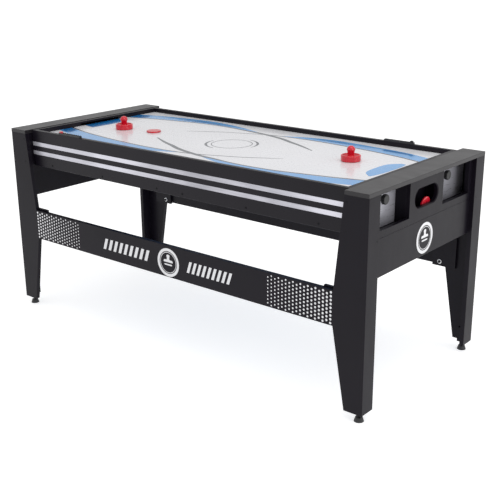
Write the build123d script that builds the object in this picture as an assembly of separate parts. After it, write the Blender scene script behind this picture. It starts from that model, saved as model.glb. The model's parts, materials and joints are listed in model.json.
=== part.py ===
from build123d import *
import math
import os

# Rotating game table: an air hockey field on one side of a box and a small pool
# field on the other. The box turns end over end about a long axis, between two
# end frames that stand on four legs. Millimetres, +Z up, +X along the table.
# The origin is on the floor, under the middle of the table.
# "right" is +X, "left" is -X, "front" is -Y and "back" is +Y.

# ---- overall sizes ----
LENGTH = 1829.0            # over the two end frames
WIDTH = 813.0              # over the long faces of the legs
HEIGHT = 813.0             # floor to the top of the end boards
BOARD = 18.0               # board of the legs, stretchers and box walls
EASE = 0.8                 # eased edge of a board

# ---- end boards and legs ----
TOP_T = 15.0
TOP_W = 94.0
LEG_WIDE = 128.0           # long face, where the stretcher meets it
LEG_FOOT_W = 74.0          # long face, at the bottom
LEG_SIDE_W = 68.0          # end face, all the way down
LEG_LIFT = 35.0            # floor to the bottom of the leg
LEG_ROUND = 2.5            # outer corner of the folded leg

# ---- stretchers ----
STRETCHER_Z = 335.0
STRETCHER_H = 128.5
CLEAT_REACH = 50.0         # along the stretcher, and as far behind the leg
CLEAT_T = 12.0
CLEAT_PROUD = 4.0          # above and below the stretcher
BOLT_INSET = 18.5          # from the stretcher's end
BOLT_EDGE = 14.0           # from the stretcher's top or bottom
BOLT_R = 3.5
BOLT_HEAD_R = 8.0
BOLT_HEAD_T = 3.0
BOLT_ROUND = 2.0
WASHER_R = 9.0
WASHER_T = 1.6
NUT_R = 5.5
NUT_T = 4.0

# ---- end frame panels, with heights taken down from the top ----
END_PANEL_T = 16.0
PANEL_SPLIT_DROP = 173.0   # seam between the window panel and the apron
APRON_H = 137.0
SILL_DROP = 148.0          # bottom of the windows
WINDOW_IN_Y = 118.0
WINDOW_STILE = 20.5        # between a window and the leg's end face
SLOT_W = 163.0             # puck return slot
SLOT_H = 69.0
SLOT_BELOW_AXIS = 11.0
SLOT_BEVEL = 3.0
STORAGE_DEPTH = 42.0       # between the window panel and the inner panel
INNER_PANEL_T = 16.0
SHELF_T = 16.0
SHELF_ABOVE_SEAM = 3.0
DIVIDER_T = 12.0
PAD_T = 3.0                # puck pad on the shelf behind a return slot
CHUTE_DROP = 22.0          # below the goal, so that a puck can tip over the edge
CHUTE_CLEAR = 5.0
TOP_RELIEF = 6.0           # cut under the end board, over the goal and its chute

# ---- turning box ----
BOX_H = 155.0
BOX_DROP = 2.0             # below the top of the end boards
BOX_SIDE_GAP = 18.5        # box wall to the inside of a leg
BOX_END_GAP = 4.5          # box end to the inner panel
FIELD_T = 6.0
FIELD_DEPTH = 18.8
BED_T = 9.0
CLOTH_T = 1.5
POOL_DEPTH = 38.0          # box edge down to the cloth
GOAL_W = 230.0
GOAL_H = 11.0
RIB_T = 12.0
RIB_X = (240.0, 520.0)
RIB_VENT_W = 120.0
RIB_VENT_H = 40.0
RIB_VENT_PITCH = 192.0
CLEAT = 15.0               # square strips under the field and over the bed
STRIPE_H = 17.0
STRIPE_T = 0.5
STRIPE_INSET = 1.0         # stripe to the box end, or to the service plate
STRIPE_OFF = 19.0          # stripe centre, above and below the turning axis
SCREW_X = (68.0, 380.0, 696.0)
SCREW_UP = 13.0
SCREW_R = 2.0
SCREW_HEAD_R = 4.0
SCREW_HEAD_T = 1.4
HEAD_SUNK = 0.3            # below the face, for heads on the outer faces
SCREW_LEN = 14.0
SCREW_ROUND = 0.9
LEG_SCREW_LEN = 30.0

# ---- pool side ----
POCKET_R = 29.0            # inside of a pocket cup
POCKET_WALL = 2.0
POCKET_EDGE = 3.0          # cup to the nearest wall
POCKET_DEEP = 40.0
CUSHION_REACH = 28.0
CUSHION_TOP = 31.0         # cushion nose above the cloth
CUSHION_NOSE = 12.0
CUSHION_BACK = 33.0
CUSHION_CUT = 35.0         # how far a cushion's end leans back
CUSHION_MOUTH = 10.0       # cushion to the pocket's edge, along the wall

# ---- pivot and locks ----
PIVOT_R = 10.0
PIVOT_SEAT = 12.0          # depth in the box end
PIVOT_FLANGE_R = 25.0
PIVOT_FLANGE_T = 3.0
BUSH_WALL = 5.0
BUSH_FLANGE_R = 21.0
BUSH_FLANGE_T = 3.0
CAP_R = 16.0
CAP_T = 4.0
RUN_CLEAR = 0.05           # radial clearance of a pin in its guide
END_PLAY = 0.5
LOCK_UP = 15.0             # lock pins above the turning axis
LOCK_R = 4.0
LOCK_TRAVEL = 10.0
LOCK_TIP_BACK = 1.5        # drawn pin to the box end
LOCK_GUIDE_R = 8.0
LOCK_GUIDE_FLANGE_R = 12.0
LOCK_GUIDE_FLANGE_T = 2.0
SOCKET_R = 7.0
SOCKET_BORE_R = 4.6
SOCKET_DEEP = 12.0
KNOB_R = 18.0
KNOB_T = 15.0
KNOB_ROUND = 4.0
KNOB_FLUTES = 8
KNOB_FLUTE_R = 4.0

# ---- blower, inlet and switch, on the back wall ----
FAN_X = -300.0
FAN_SIZE = 76.0
FAN_DEEP = 36.0
FAN_DUCT_R = 35.0
FAN_HUB_R = 14.0
FAN_HUB_T = 6.0
FAN_BLADES = 7
FAN_BLADE_T = 1.6
FAN_TIP_GAP = 1.5
FAN_SHAFT_R = 1.5
FAN_STRUT_W = 6.0
FAN_STRUTS = 3
FAN_ROUND = 5.0
FAN_ROOM = 2.0             # left free on each side of the housing
FAN_RUN_GAP = 1.0          # wheel to the hub that carries it
BLADE_BACK = 3.0           # blades to the wall's inner face
BLADE_PITCH = 38.0
BLADE_CHORD = 0.8          # share of the wheel's depth
BLADE_ROOT = 2.0           # how far a blade goes into the wheel's hub
BLADE_TIP_BACK = 1.0
PLATE_MARGIN = 4.0
PLATE_T = 2.0
PLATE_ROUND = 5.0
GRILLE_SLOTS = 7
GRILLE_SLOT_H = 5.0
GRILLE_PITCH = 9.0
GRILLE_EDGE = 2.0          # slots to the duct's edge, and half the bar between them
INLET_FROM_FAN = 32.0      # inlet's axis to the side of the fan
INLET_R = 5.5
INLET_BORE_R = 2.8
INLET_PIN_R = 1.0
INLET_DEEP = 22.0
INLET_BORE_DEEP = 10.0
INLET_PIN_BACK = 1.0
INLET_ROOM = 1.0           # hole in the wall round the inlet
INLET_FLANGE_R = 8.0
INLET_FLANGE_T = 2.0
SWITCH_FROM_FAN = 67.0
SWITCH_W = 13.0
SWITCH_H = 21.0
SWITCH_DEEP = 13.0
SWITCH_WALL = 1.5
ROCKER_GAP = 0.8
ROCKER_T = 7.0
ROCKER_TILT = 10.0
ROCKER_ROUND = 1.5

# ---- scorers, mallets, pucks and feet ----
SCORER_X_FRONT = -576.0    # middle of the front track
SCORER_X_BACK = 567.0
SCORER_L = 134.0
SCORER_W = 14.0
SCORER_H = 7.0
SCORER_LIP = 2.5
SCORER_ROUND = 2.0
SCORER_GROOVE = 3.0        # depth of the marker's groove
SCORER_PEGS = 11
PEG_INSET = 8.0            # first and last peg from the track's ends
PEG_H = 2.0
PEG_R = 1.1
MARKER_L = 12.0
MARKER_H = 9.0
MARKER_ROUND = 3.0
MARKER_END = 1.0           # marker at rest to the groove's end
GAP = 0.3                  # between bodies that rest on each other
MALLET_R = 37.5
MALLET_H = 57.0
MALLET_LEFT = (-589.0, -44.0)
MALLET_RIGHT = (553.0, 36.0)
PUCK_R = 31.5
PUCK_T = 6.0
PUCK_AT = (-437.0, -12.0)
PUCK_EDGE = 0.8
SPARE_PUCK_Y = 30.0        # it stands on edge behind the right return slot
SPARE_PUCK_LEAN = 6.0
FOOT_INSET = 27.0          # foot centre from both outer faces
FOOT_R = 18.0
FOOT_TOP_R = 13.0
FOOT_H = 16.0
FOOT_ROUND = 2.0
STEM_R = 4.0
STEM_LEN = 60.0
BLOCK = 24.0
BLOCK_H = 60.0
LEG_SCREW_DROP = (38.0, 137.0)
END_SCREW_DROP = 169.0
END_SCREW_IN = 54.5        # end screw from the leg's long face

# ---- places that follow from the sizes above ----
X_END = LENGTH / 2
Y_FACE = WIDTH / 2
Y_LEG_IN = Y_FACE - BOARD
Z_UNDER_TOP = HEIGHT - TOP_T
X_PANEL = X_END - BOARD                      # outer face of the end panels
X_PANEL_IN = X_PANEL - END_PANEL_T
X_WALL = X_PANEL_IN - STORAGE_DEPTH          # outer face of the inner panel
X_WALL_IN = X_WALL - INNER_PANEL_T
Z_SPLIT = HEIGHT - PANEL_SPLIT_DROP
Z_SILL = HEIGHT - SILL_DROP
Z_SHELF = Z_SPLIT + SHELF_ABOVE_SEAM
WINDOW_OUT_Y = Y_FACE - LEG_SIDE_W - WINDOW_STILE

X_BOX = X_WALL_IN - BOX_END_GAP
X_BOX_IN = X_BOX - BOARD
Y_BOX = Y_LEG_IN - BOX_SIDE_GAP
Y_BOX_IN = Y_BOX - BOARD
Z_BOX_TOP = HEIGHT - BOX_DROP
Z_BOX_LOW = Z_BOX_TOP - BOX_H
Z_AXIS = Z_BOX_TOP - BOX_H / 2
Z_FIELD = Z_BOX_TOP - FIELD_DEPTH
Z_FIELD_LOW = Z_FIELD - FIELD_T
Z_CLOTH = Z_BOX_LOW + POOL_DEPTH
Z_BED = Z_CLOTH + CLOTH_T
Z_BED_TOP = Z_BED + BED_T
Z_SLOT = Z_AXIS - SLOT_BELOW_AXIS
Z_PAD = Z_SHELF + PAD_T
Z_FAN = (Z_BED_TOP + Z_FIELD_LOW) / 2
X_INLET = FAN_X + FAN_SIZE / 2 + INLET_FROM_FAN
X_SWITCH = FAN_X + FAN_SIZE / 2 + SWITCH_FROM_FAN
LOCK_Y = (WINDOW_IN_Y + WINDOW_OUT_Y) / 2
POCKET_OUT_R = POCKET_R + POCKET_WALL
POCKET_IN = POCKET_OUT_R + POCKET_EDGE       # cup centre from a wall

nodes = {}


# ---- small helpers ----
def block(x0, x1, y0, y1, z0, z1):
    middle = Pos((x0 + x1) / 2, (y0 + y1) / 2, (z0 + z1) / 2)
    return middle * Box(x1 - x0, y1 - y0, z1 - z0)


def rod_x(x0, x1, y, z, r):
    return Pos((x0 + x1) / 2, y, z) * Rot(0, 90, 0) * Cylinder(r, x1 - x0)


def rod_y(y0, y1, x, z, r):
    return Pos(x, (y0 + y1) / 2, z) * Rot(90, 0, 0) * Cylinder(r, y1 - y0)


def rod_z(z0, z1, x, y, r):
    return Pos(x, y, (z0 + z1) / 2) * Cylinder(r, z1 - z0)


def prism(points, plane, amount):
    """The closed outline on the plane, pulled out along the plane's normal."""
    face = make_face(plane * Polyline(*points, close=True))
    return extrude(face, amount=amount, dir=plane.z_dir)


def eased(board):
    return chamfer(board.edges(), EASE)


def flip_x(part):
    return mirror(part, about=Plane.YZ)


def flip_y(part):
    return mirror(part, about=Plane.XZ)


def both_ends(name, right):
    nodes[name + "_right"] = right
    nodes[name + "_left"] = flip_x(right)


def both_sides(name, front):
    nodes[name + "_front"] = front
    nodes[name + "_back"] = flip_y(front)


def four_ways(part):
    return [part, flip_x(part), flip_y(part), flip_x(flip_y(part))]


def group(name, parts):
    solids = [solid for part in parts for solid in part.solids()]
    nodes[name] = Compound(solids)


def pocket_centres():
    corner_x = X_BOX_IN - POCKET_IN
    y = Y_BOX_IN - POCKET_IN
    return [(x, side * y) for x in (-corner_x, 0, corner_x) for side in (-1, 1)]


# ---- legs, end boards and stretchers ----
def leg():
    """Front right leg: one board folded into an L, with a tapered long face."""
    edge = [
        (X_END, LEG_LIFT),
        (X_END - LEG_FOOT_W, LEG_LIFT),
        (X_END - LEG_WIDE, STRETCHER_Z),
        (X_END - LEG_WIDE, STRETCHER_Z + STRETCHER_H),
        (X_END - TOP_W, Z_UNDER_TOP),
        (X_END, Z_UNDER_TOP),
    ]
    face = prism(edge, Plane.XZ.offset(Y_LEG_IN), BOARD)
    side = block(X_PANEL, X_END, -Y_FACE, -Y_FACE + LEG_SIDE_W, LEG_LIFT, Z_UNDER_TOP)
    whole = face + side
    sunk = HEAD_SUNK + SCREW_HEAD_T
    for x, z in leg_screw_spots():
        whole -= rod_y(-Y_FACE, -Y_LEG_IN, x, z, SCREW_R)
        whole -= rod_y(-Y_FACE, -Y_FACE + sunk, x, z, SCREW_HEAD_R)
    y, z = end_screw_spot()
    whole -= rod_x(X_PANEL, X_END, y, z, SCREW_R)
    whole -= rod_x(X_END - sunk, X_END, y, z, SCREW_HEAD_R)
    corner = [e for e in whole.edges() if e.center().X > X_END - 0.01 and e.center().Y < 0.01 - Y_FACE]
    return fillet([e for e in corner if e.length > HEIGHT / 2], LEG_ROUND)


def leg_screw_spots():
    """X and Z of the screws through a leg's long face, into the inner panel."""
    x = (X_WALL + X_WALL_IN) / 2
    return [(x, HEIGHT - drop) for drop in LEG_SCREW_DROP]


def end_screw_spot():
    """Y and Z of the screw through a leg's end face."""
    return -Y_FACE + END_SCREW_IN, HEIGHT - END_SCREW_DROP


def make_legs():
    front_right = leg()
    names = ["leg_front_right", "leg_front_left", "leg_back_right", "leg_back_left"]
    for name, part in zip(names, four_ways(front_right)):
        nodes[name] = part


def screw_y(x, y, z, length):
    """A pan head screw that goes in along +Y from a face at y."""
    head = rod_y(y - SCREW_HEAD_T, y, x, z, SCREW_HEAD_R)
    head = fillet(head.edges().sort_by(Axis.Y)[0], SCREW_ROUND)
    return head + rod_y(y, y + length, x, z, SCREW_R)


def make_leg_screws():
    sunk = HEAD_SUNK + SCREW_HEAD_T
    parts = []
    for x, z in leg_screw_spots():
        parts += four_ways(screw_y(x, -Y_FACE + sunk, z, LEG_SCREW_LEN))
    y, z = end_screw_spot()
    x = X_END - sunk
    head = rod_x(x, x + SCREW_HEAD_T, y, z, SCREW_HEAD_R)
    head = fillet(head.edges().sort_by(Axis.X)[-1], SCREW_ROUND)
    parts += four_ways(head + rod_x(x - SCREW_LEN, x, y, z, SCREW_R))
    group("leg_screws", parts)


def make_top_boards():
    """The end boards, cut away underneath where pucks pass on their way out."""
    board = eased(block(X_END - TOP_W, X_END, -Y_FACE, Y_FACE, Z_UNDER_TOP, HEIGHT))
    half = GOAL_W / 2 + CHUTE_CLEAR
    board -= block(X_END - TOP_W, X_PANEL_IN, -half, half, Z_UNDER_TOP, Z_UNDER_TOP + TOP_RELIEF)
    both_ends("top_board", board)


def bolt_spots():
    x = X_END - LEG_WIDE - BOLT_INSET
    return [(x, STRETCHER_Z + BOLT_EDGE), (x, STRETCHER_Z + STRETCHER_H - BOLT_EDGE)]


def make_stretchers():
    reach = X_END - LEG_WIDE
    board = block(-reach, reach, -Y_FACE, -Y_LEG_IN, STRETCHER_Z, STRETCHER_Z + STRETCHER_H)
    board = eased(board)
    y_cleat = -Y_LEG_IN + CLEAT_T
    cleat = block(
        reach - CLEAT_REACH,
        reach + CLEAT_REACH,
        -Y_LEG_IN,
        y_cleat,
        STRETCHER_Z - CLEAT_PROUD,
        STRETCHER_Z + STRETCHER_H + CLEAT_PROUD,
    )
    bolts, washers = [], []
    for x, z in bolt_spots():
        y_head = -Y_FACE + HEAD_SUNK
        y_seat = y_head + BOLT_HEAD_T
        hole = rod_y(y_seat, y_cleat, x, z, BOLT_R)
        cleat -= hole
        hole += rod_y(-Y_FACE, y_seat, x, z, BOLT_HEAD_R)
        board -= hole
        board -= flip_x(hole)
        head = rod_y(y_head, y_seat, x, z, BOLT_HEAD_R)
        head = fillet(head.edges().sort_by(Axis.Y)[0], BOLT_ROUND)
        y_washer = y_cleat + WASHER_T
        shank = rod_y(y_seat, y_washer + NUT_T, x, z, BOLT_R)
        nut = rod_y(y_washer, y_washer + NUT_T, x, z, NUT_R)
        ring = rod_y(y_cleat, y_washer, x, z, WASHER_R) - rod_y(y_cleat, y_washer, x, z, BOLT_R)
        bolts += four_ways(head + shank + nut)
        washers += four_ways(ring)
    both_sides("stretcher", board)
    group("stretcher_cleats", four_ways(cleat))
    group("stretcher_bolts", bolts)
    group("stretcher_washers", washers)


def foot_centre():
    return X_END - FOOT_INSET, -Y_FACE + FOOT_INSET


def make_feet():
    x, y = foot_centre()
    near = block(X_PANEL - BLOCK, X_PANEL, -Y_LEG_IN, -Y_LEG_IN + BLOCK, LEG_LIFT, LEG_LIFT + BLOCK_H)
    near -= rod_z(LEG_LIFT, LEG_LIFT + BLOCK_H, x, y, STEM_R + RUN_CLEAR)
    group("foot_blocks", four_ways(near))
    pad = Pos(x, y, FOOT_H / 2) * Cone(FOOT_R, FOOT_TOP_R, FOOT_H)
    pad = fillet(pad.edges().sort_by(Axis.Z)[-1], FOOT_ROUND)
    stem = rod_z(FOOT_H, FOOT_H + STEM_LEN, x, y, STEM_R)
    names = ["foot_front_right", "foot_front_left", "foot_back_right", "foot_back_left"]
    for name, part in zip(names, four_ways(pad + stem)):
        nodes[name] = part


# ---- end frames ----
def make_window_panels():
    panel = block(X_PANEL_IN, X_PANEL, -Y_LEG_IN, Y_LEG_IN, Z_SPLIT, Z_UNDER_TOP)
    panel = chamfer(panel.edges().filter_by(Axis.Y), EASE)
    window = block(X_PANEL_IN, X_PANEL, WINDOW_IN_Y, WINDOW_OUT_Y, Z_SILL, Z_UNDER_TOP)
    panel -= window
    panel -= flip_y(window)
    stadium = Plane.YZ.offset(X_PANEL_IN) * Pos(0, Z_SLOT, 0) * SlotOverall(SLOT_W, SLOT_H)
    panel -= extrude(stadium, amount=END_PANEL_T)
    rim = [e for e in panel.faces().sort_by(Axis.X)[-1].edges() if abs(e.center().Y) < SLOT_W / 2 + 1]
    rim = [e for e in rim if abs(e.center().Z - Z_SLOT) < SLOT_H / 2 + 1 and e.length < SLOT_W]
    rim = [e for e in rim if e.geom_type == GeomType.CIRCLE or abs(e.center().Y) < 1]
    both_ends("window_panel", chamfer(rim, SLOT_BEVEL))


def make_aprons():
    apron = block(X_PANEL_IN, X_PANEL, -Y_LEG_IN, Y_LEG_IN, Z_SPLIT - APRON_H, Z_SPLIT)
    both_ends("end_apron", chamfer(apron.edges().filter_by(Axis.Y), EASE))


def make_inner_panels():
    panel = block(X_WALL_IN, X_WALL, -Y_LEG_IN, Y_LEG_IN, Z_SHELF - SHELF_T, Z_UNDER_TOP)
    chute_y = GOAL_W / 2 + CHUTE_CLEAR
    chute = block(X_WALL_IN, X_WALL, -chute_y, chute_y, Z_FIELD - CHUTE_DROP, Z_UNDER_TOP)
    panel -= chute
    panel -= rod_x(X_WALL_IN, X_WALL, 0, Z_AXIS, PIVOT_R + RUN_CLEAR + BUSH_WALL)
    for side in (-1, 1):
        panel -= rod_x(X_WALL_IN, X_WALL, side * LOCK_Y, Z_AXIS + LOCK_UP, LOCK_GUIDE_R)
    tip = -Y_FACE + HEAD_SUNK + SCREW_HEAD_T + LEG_SCREW_LEN
    for x, z in leg_screw_spots():
        bite = rod_y(-Y_LEG_IN, tip, x, z, SCREW_R)
        panel -= bite
        panel -= flip_y(bite)
    both_ends("inner_panel", panel)


def make_shelves():
    shelf = block(X_WALL, X_PANEL_IN, -Y_LEG_IN, Y_LEG_IN, Z_SHELF - SHELF_T, Z_SHELF)
    both_ends("storage_shelf", shelf)
    wall = block(X_WALL, X_PANEL_IN, WINDOW_IN_Y - DIVIDER_T, WINDOW_IN_Y, Z_SHELF, Z_UNDER_TOP)
    group("return_dividers", four_ways(wall))
    y = WINDOW_IN_Y - DIVIDER_T
    pad = block(X_WALL, X_PANEL_IN, -y, y, Z_SHELF, Z_PAD)
    group("puck_pads", [pad, flip_x(pad)])


# ---- pivot and lock pins ----
def make_pivots():
    bore = PIVOT_R + RUN_CLEAR
    sleeve = rod_x(X_WALL_IN, X_WALL, 0, Z_AXIS, bore + BUSH_WALL)
    sleeve += rod_x(X_WALL, X_WALL + BUSH_FLANGE_T, 0, Z_AXIS, BUSH_FLANGE_R)
    sleeve -= rod_x(X_WALL_IN, X_WALL + BUSH_FLANGE_T, 0, Z_AXIS, bore)
    group("pivot_bushings", [sleeve, flip_x(sleeve)])
    x_cap = X_WALL + BUSH_FLANGE_T + END_PLAY
    pin = rod_x(X_BOX - PIVOT_SEAT, x_cap, 0, Z_AXIS, PIVOT_R)
    pin += rod_x(X_BOX, X_BOX + PIVOT_FLANGE_T, 0, Z_AXIS, PIVOT_FLANGE_R)
    cap = rod_x(x_cap, x_cap + CAP_T, 0, Z_AXIS, CAP_R)
    group("pivot_pins", [pin, cap, flip_x(pin), flip_x(cap)])


def lock_knob():
    """Lock pin at +X, +Y, drawn back, with its fluted knob."""
    x_head = X_WALL + LOCK_GUIDE_FLANGE_T + LOCK_TRAVEL + END_PLAY
    y, z = LOCK_Y, Z_AXIS + LOCK_UP
    head = rod_x(x_head, x_head + KNOB_T, y, z, KNOB_R)
    head = fillet(head.edges(), KNOB_ROUND)
    for k in range(KNOB_FLUTES):
        turn = 2 * math.pi * k / KNOB_FLUTES
        reach = KNOB_R + KNOB_FLUTE_R / 2
        fy, fz = y + reach * math.cos(turn), z + reach * math.sin(turn)
        head -= rod_x(x_head, x_head + KNOB_T, fy, fz, KNOB_FLUTE_R)
    return head + rod_x(X_BOX + LOCK_TIP_BACK, x_head, y, z, LOCK_R)


def make_locks():
    y, z = LOCK_Y, Z_AXIS + LOCK_UP
    guide = rod_x(X_WALL_IN, X_WALL, y, z, LOCK_GUIDE_R)
    guide += rod_x(X_WALL, X_WALL + LOCK_GUIDE_FLANGE_T, y, z, LOCK_GUIDE_FLANGE_R)
    guide -= rod_x(X_WALL_IN, X_WALL + LOCK_GUIDE_FLANGE_T, y, z, LOCK_R + RUN_CLEAR)
    group("lock_guides", four_ways(guide))
    back_right = lock_knob()
    names = ["lock_knob_back_right", "lock_knob_back_left"]
    names += ["lock_knob_front_right", "lock_knob_front_left"]
    for name, part in zip(names, four_ways(back_right)):
        nodes[name] = part
    sockets = []
    for up in (LOCK_UP, -LOCK_UP):
        socket = rod_x(X_BOX - SOCKET_DEEP, X_BOX, y, Z_AXIS + up, SOCKET_R)
        socket -= rod_x(X_BOX - SOCKET_DEEP, X_BOX, y, Z_AXIS + up, SOCKET_BORE_R)
        sockets += four_ways(socket)
    group("lock_sockets", sockets)


# ---- the box ----
def box_screw_spots():
    return [(side * x, Z_BOX_LOW + SCREW_UP) for x in SCREW_X for side in (-1, 1)]


def make_box_sides():
    wall = eased(block(-X_BOX, X_BOX, -Y_BOX, -Y_BOX_IN, Z_BOX_LOW, Z_BOX_TOP))
    screws = []
    for x, z in box_screw_spots():
        wall -= rod_y(-Y_BOX, -Y_BOX + SCREW_LEN, x, z, SCREW_R)
        screw = screw_y(x, -Y_BOX, z, SCREW_LEN)
        screws += [screw, flip_y(screw)]
    group("box_screws", screws)
    nodes["box_side_front"] = wall
    back = flip_y(wall)
    back -= rod_y(Y_BOX_IN, Y_BOX, FAN_X, Z_FAN, FAN_DUCT_R)
    back -= rod_y(Y_BOX_IN, Y_BOX, X_INLET, Z_FAN, INLET_R + INLET_ROOM)
    half_w, half_h = SWITCH_W / 2 + SWITCH_WALL, SWITCH_H / 2 + SWITCH_WALL
    x = X_SWITCH
    back -= block(x - half_w, x + half_w, Y_BOX_IN, Y_BOX, Z_FAN - half_h, Z_FAN + half_h)
    nodes["box_side_back"] = back


def make_box_ends():
    wall = block(X_BOX_IN, X_BOX, -Y_BOX_IN, Y_BOX_IN, Z_BOX_LOW, Z_BOX_TOP)
    wall = chamfer(wall.edges().filter_by(Axis.Y), EASE)
    wall -= block(X_BOX_IN, X_BOX, -GOAL_W / 2, GOAL_W / 2, Z_FIELD, Z_FIELD + GOAL_H)
    wall -= rod_x(X_BOX - PIVOT_SEAT, X_BOX, 0, Z_AXIS, PIVOT_R)
    for side in (-1, 1):
        for up in (-LOCK_UP, LOCK_UP):
            wall -= rod_x(X_BOX - SOCKET_DEEP, X_BOX, side * LOCK_Y, Z_AXIS + up, SOCKET_R)
    both_ends("box_end", wall)


def make_fields():
    nodes["hockey_field"] = block(-X_BOX_IN, X_BOX_IN, -Y_BOX_IN, Y_BOX_IN, Z_FIELD_LOW, Z_FIELD)
    bed = block(-X_BOX_IN, X_BOX_IN, -Y_BOX_IN, Y_BOX_IN, Z_BED, Z_BED_TOP)
    cloth = block(-X_BOX_IN, X_BOX_IN, -Y_BOX_IN, Y_BOX_IN, Z_CLOTH, Z_BED)
    cups = []
    for x, y in pocket_centres():
        bed -= rod_z(Z_BED, Z_BED_TOP, x, y, POCKET_OUT_R)
        cloth -= rod_z(Z_CLOTH, Z_BED, x, y, POCKET_OUT_R)
        cup = rod_z(Z_CLOTH, Z_CLOTH + POCKET_DEEP, x, y, POCKET_OUT_R)
        cup -= rod_z(Z_CLOTH, Z_CLOTH + POCKET_DEEP - POCKET_WALL, x, y, POCKET_R)
        cups.append(cup)
    nodes["pool_bed"] = bed
    nodes["pool_cloth"] = cloth
    group("pool_pockets", cups)


def cushion(span):
    """A rail cushion along X, with its back on y = 0 and its nose towards -Y."""
    lip = Z_CLOTH - CUSHION_TOP
    shape = [
        (0, Z_CLOTH - CUSHION_BACK),
        (-CUSHION_REACH, lip),
        (-CUSHION_REACH, lip + CUSHION_NOSE),
        (0, Z_CLOTH),
    ]
    bar = prism(shape, Plane.YZ.offset(-span / 2), span)
    lean = CUSHION_REACH * math.tan(math.radians(CUSHION_CUT))
    plan = [
        (-span / 2, 0),
        (span / 2, 0),
        (span / 2 - lean, -CUSHION_REACH),
        (lean - span / 2, -CUSHION_REACH),
    ]
    trim = prism(plan, Plane.XY.offset(Z_BOX_LOW), POOL_DEPTH)
    return bar & trim


def make_cushions():
    corner_x = X_BOX_IN - POCKET_IN
    inner = POCKET_OUT_R + CUSHION_MOUTH - POCKET_WALL
    span = corner_x - 2 * inner
    long_one = Pos(corner_x / 2, Y_BOX_IN, 0) * cushion(span)
    end_span = 2 * (Y_BOX_IN - POCKET_IN - inner)
    end_one = Pos(X_BOX_IN, 0, 0) * Rot(0, 0, -90) * cushion(end_span)
    group("pool_cushions", four_ways(long_one) + [end_one, flip_x(end_one)])


def cleat_runs():
    """Lengths along X, as pairs, of the strips beside the bed on a long wall."""
    corner = X_BOX_IN - POCKET_IN - POCKET_OUT_R - POCKET_EDGE
    side = POCKET_OUT_R + POCKET_EDGE
    return [(-corner, -side), (side, corner)]


def make_inner_frame():
    y_in = Y_BOX_IN - CLEAT
    ribs = []
    for x in RIB_X:
        rib = block(x - RIB_T / 2, x + RIB_T / 2, -y_in, y_in, Z_BED_TOP, Z_FIELD_LOW)
        for k in (-1, 0, 1):
            mid = k * RIB_VENT_PITCH
            low, high = Z_FAN - RIB_VENT_H / 2, Z_FAN + RIB_VENT_H / 2
            rib -= block(x - RIB_T, x + RIB_T, mid - RIB_VENT_W / 2, mid + RIB_VENT_W / 2, low, high)
        ribs += [rib, flip_x(rib)]
    group("cross_ribs", ribs)

    fan_room = block(
        FAN_X - FAN_SIZE / 2 - FAN_ROOM,
        FAN_X + FAN_SIZE / 2 + FAN_ROOM,
        0,
        Y_BOX_IN,
        Z_BED_TOP,
        Z_FIELD_LOW,
    )
    x_in = X_BOX_IN - CLEAT
    strips = []
    high = block(-X_BOX_IN, X_BOX_IN, y_in, Y_BOX_IN, Z_FIELD_LOW - CLEAT, Z_FIELD_LOW)
    strips += [high - fan_room, flip_y(high)]
    end_high = block(x_in, X_BOX_IN, -y_in, y_in, Z_FIELD_LOW - CLEAT, Z_FIELD_LOW)
    strips += [end_high, flip_x(end_high)]
    for x0, x1 in cleat_runs():
        low = block(x0, x1, y_in, Y_BOX_IN, Z_BED_TOP, Z_BED_TOP + CLEAT)
        strips += [low - fan_room, flip_y(low)]
    y_low = Y_BOX_IN - POCKET_IN - POCKET_OUT_R - POCKET_EDGE
    end_low = block(x_in, X_BOX_IN, -y_low, y_low, Z_BED_TOP, Z_BED_TOP + CLEAT)
    strips += [end_low, flip_x(end_low)]
    group("edge_cleats", strips)


def plate_span():
    left = FAN_X - FAN_SIZE / 2 - PLATE_MARGIN
    return left, X_SWITCH + SWITCH_W / 2 + SWITCH_WALL + 2 * PLATE_MARGIN


def make_stripes():
    strips = []
    reach = X_BOX - STRIPE_INSET
    left, right = plate_span()
    for off in (-STRIPE_OFF, STRIPE_OFF):
        z0, z1 = Z_AXIS + off - STRIPE_H / 2, Z_AXIS + off + STRIPE_H / 2
        strips.append(block(-reach, reach, -Y_BOX - STRIPE_T, -Y_BOX, z0, z1))
        strips.append(block(-reach, left - STRIPE_INSET, Y_BOX, Y_BOX + STRIPE_T, z0, z1))
        strips.append(block(right + STRIPE_INSET, reach, Y_BOX, Y_BOX + STRIPE_T, z0, z1))
    group("side_stripes", strips)


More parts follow.
